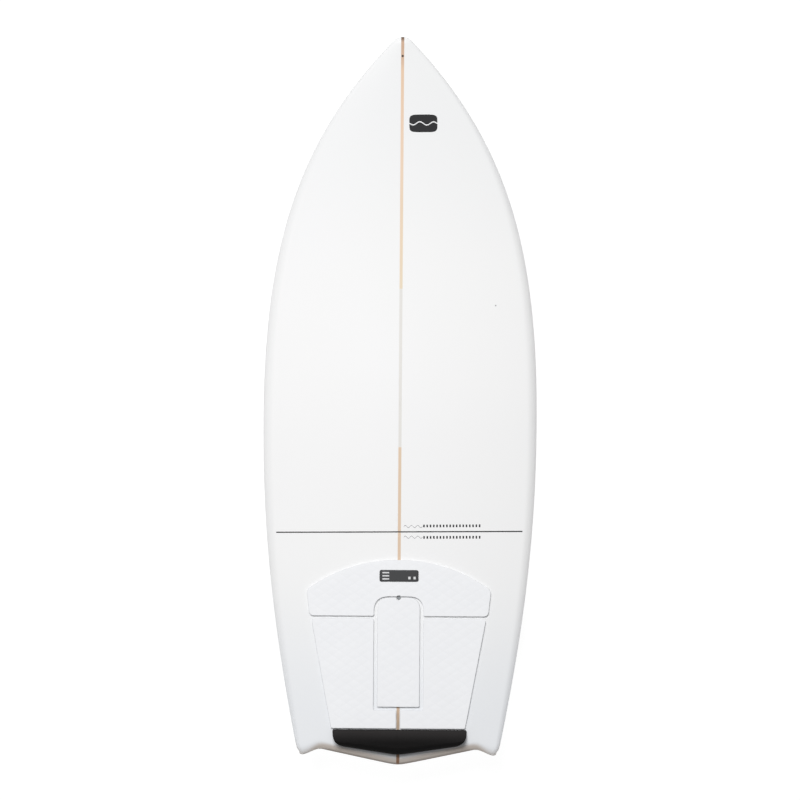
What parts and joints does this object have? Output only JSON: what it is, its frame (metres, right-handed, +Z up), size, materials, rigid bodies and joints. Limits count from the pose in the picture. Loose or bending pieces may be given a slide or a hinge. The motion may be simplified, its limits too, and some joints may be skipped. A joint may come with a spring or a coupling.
{
  "type": "surfboard",
  "caption": "Short wide wakesurf board with a bat tail, fins that slide out of their boxes, a deck vent and a foam traction pad with a kicker.",
  "frame": {"origin": "on the hull bottom, at the middle of its flat spot", "axes": "+X to the nose, +Y to the left rail, +Z up out of the deck"},
  "size_m": [1.4, 0.526, 0.187],
  "materials": {
    "laminate": "white pigmented fibreglass laminate, sanded gloss",
    "foam": "white expanded polystyrene core",
    "wood": "pale plywood stringer",
    "fin": "black glass-filled nylon, satin",
    "fin_box": "white moulded plastic, sanded flush",
    "steel": "stainless steel grub screw",
    "vent": "white moulded plastic",
    "vent_screw": "dull stainless steel",
    "rubber": "black rubber",
    "pad": "white closed-cell EVA foam, milled with grooves",
    "kicker": "black closed-cell EVA foam",
    "label": "thin heat-pressed patch"
  },
  "bodies": {
    "board": {"foam_core_left": "foam", "foam_core_right": "foam", "stringer": "wood", "deck_skin": "laminate", "bottom_skin": "laminate", "fin_box_left": "fin_box", "fin_box_right": "fin_box", "fin_box_center": "fin_box", "grub_screw_left_front": "steel", "grub_screw_left_rear": "steel", "grub_screw_right_front": "steel", "grub_screw_right_rear": "steel", "grub_screw_center_front": "steel", "grub_screw_center_rear": "steel", "vent_plug": "vent", "vent_o_ring": "rubber", "pad_front": "pad", "pad_center_strip": "pad", "pad_rear_left": "pad", "pad_rear_right": "pad", "pad_kicker": "kicker", "pad_label": "label"},
    "left_fin": {"fin_left": "fin"},
    "right_fin": {"fin_right": "fin"},
    "center_fin": {"fin_center": "fin"},
    "vent_screw": {"vent_screw": "vent_screw"}
  },
  "joints": [
    {"name": "left_fin_slide", "type": "slide", "parent": "board", "child": "left_fin", "axis": [-0.0617, 0.0899, -0.994], "range_m": [0, 0.03]},
    {"name": "right_fin_slide", "type": "slide", "parent": "board", "child": "right_fin", "axis": [-0.0617, -0.0899, -0.994], "range_m": [0, 0.03]},
    {"name": "center_fin_slide", "type": "slide", "parent": "board", "child": "center_fin", "axis": [-0.0971, 0, -0.9953], "range_m": [0, 0.03]},
    {"name": "vent_screw_turn", "type": "hinge", "parent": "board", "child": "vent_screw", "pos_m": [-0.3794, 0, 0.0551], "axis": [0, 0, 1], "continuous": true}
  ]
}
